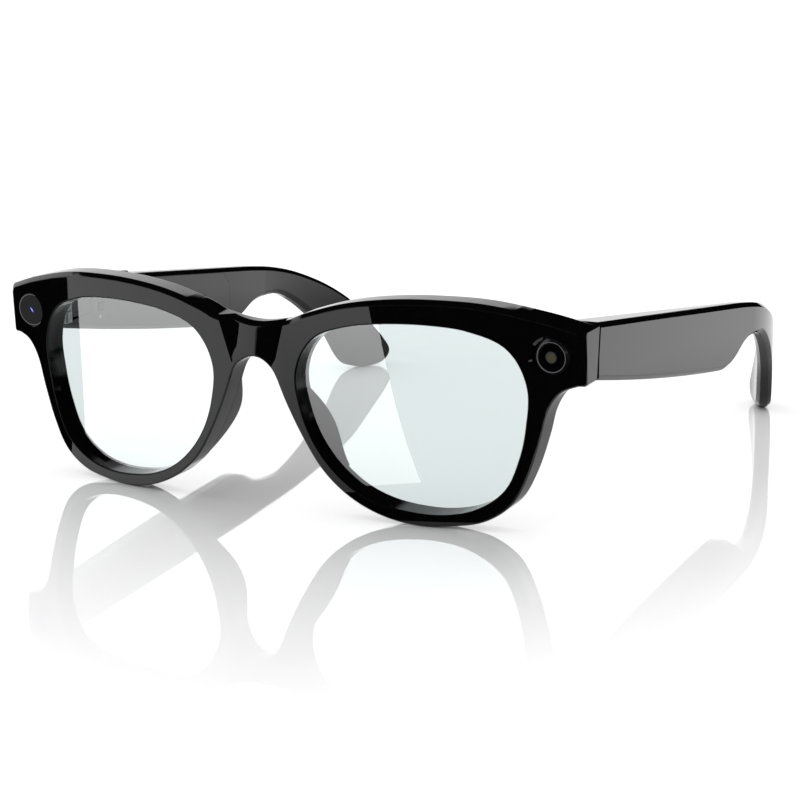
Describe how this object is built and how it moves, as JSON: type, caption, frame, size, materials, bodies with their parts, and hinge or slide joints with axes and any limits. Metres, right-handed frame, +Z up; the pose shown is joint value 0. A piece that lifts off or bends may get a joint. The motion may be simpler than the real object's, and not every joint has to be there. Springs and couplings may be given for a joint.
{
  "type": "smart glasses",
  "caption": "Wide glossy frame with clear lenses, a camera and a light in the end pieces, and folding electronic temples with ear hooks.",
  "frame": {"origin": "centre of the box's underside, on the surface the rims and ear hooks rest on", "axes": "+Z up, -Y out of the lenses, +Y along the open temples, +X to the wearer's left"},
  "size_m": [0.15, 0.1664, 0.0501],
  "materials": {
    "gloss_black": "polished",
    "satin_black": "satin",
    "pad_black": "polished",
    "clear_lens": "clear with a pale blue-green coating",
    "dark_metal": "satin",
    "dark_glass": "tinted",
    "lens_glass": "coated",
    "module_black": "matt",
    "board_green": "solder mask",
    "phosphor": "matt",
    "gold_can": "plated",
    "hinge_steel": "brushed",
    "screw_steel": "turned",
    "pin_steel": "ground",
    "shield_metal": "satin",
    "flex_amber": "satin",
    "speaker_grey": "matt",
    "mesh_metal": "fine mesh",
    "light_pipe": "frosted",
    "cell_foil": "foil",
    "contact_gold": "gold plated"
  },
  "bodies": {
    "front": {"front_frame": "gloss_black", "lens_right": "clear_lens", "lens_left": "clear_lens", "brow_cover": "satin_black", "brow_flex": "flex_amber", "nose_pad_right": "pad_black", "nose_pad_left": "pad_black", "camera_ring": "dark_metal", "camera_window": "dark_glass", "camera_lens": "lens_glass", "camera_barrel": "module_black", "camera_board": "board_green", "light_ring": "dark_metal", "light_window": "dark_glass", "light_reflector": "module_black", "light_chip": "phosphor", "light_board": "board_green", "bridge_microphone": "gold_can", "hinge_front_right": "hinge_steel", "hinge_front_left": "hinge_steel", "hinge_front_screws": "screw_steel", "hinge_pin_right": "pin_steel", "hinge_pin_left": "pin_steel"},
    "temple_right": {"temple_shell_right": "gloss_black", "temple_cover_right": "satin_black", "hinge_temple_right": "hinge_steel", "hinge_screws_right": "screw_steel", "main_board": "board_green", "processor": "shield_metal", "touch_flex": "flex_amber", "speaker_right": "speaker_grey", "speaker_grille_right": "mesh_metal", "microphone_right": "gold_can", "core_wire_right": "pin_steel", "status_light": "light_pipe", "power_switch": "shield_metal", "capture_switch": "shield_metal"},
    "temple_left": {"temple_shell_left": "gloss_black", "temple_cover_left": "satin_black", "hinge_temple_left": "hinge_steel", "hinge_screws_left": "screw_steel", "battery": "cell_foil", "battery_board": "board_green", "speaker_left": "speaker_grey", "speaker_grille_left": "mesh_metal", "microphone_left": "gold_can", "core_wire_left": "pin_steel", "charge_contacts": "contact_gold"},
    "capture_button": {"capture_button": "gloss_black"},
    "power_key": {"power_key": "satin_black"}
  },
  "joints": [
    {"name": "temple_left_fold", "type": "hinge", "parent": "front", "child": "temple_left", "pos_m": [0.066, -0.06456, 0.0389], "axis": [0, 0, 1], "range_deg": [0, 89]},
    {"name": "temple_right_fold", "type": "hinge", "parent": "front", "child": "temple_right", "pos_m": [-0.066, -0.06456, 0.0389], "axis": [0, 0, -1], "range_deg": [0, 64]},
    {"name": "capture_press", "type": "slide", "parent": "temple_right", "child": "capture_button", "axis": [0, -0.0953, -0.9955], "range_m": [0, 0.0003], "stiffness_N_per_m": 800, "springref_m": -0.0002},
    {"name": "power_press", "type": "slide", "parent": "temple_right", "child": "power_key", "axis": [-1, 0, 0], "range_m": [0, 0.00025], "stiffness_N_per_m": 800, "springref_m": -0.0002}
  ]
}
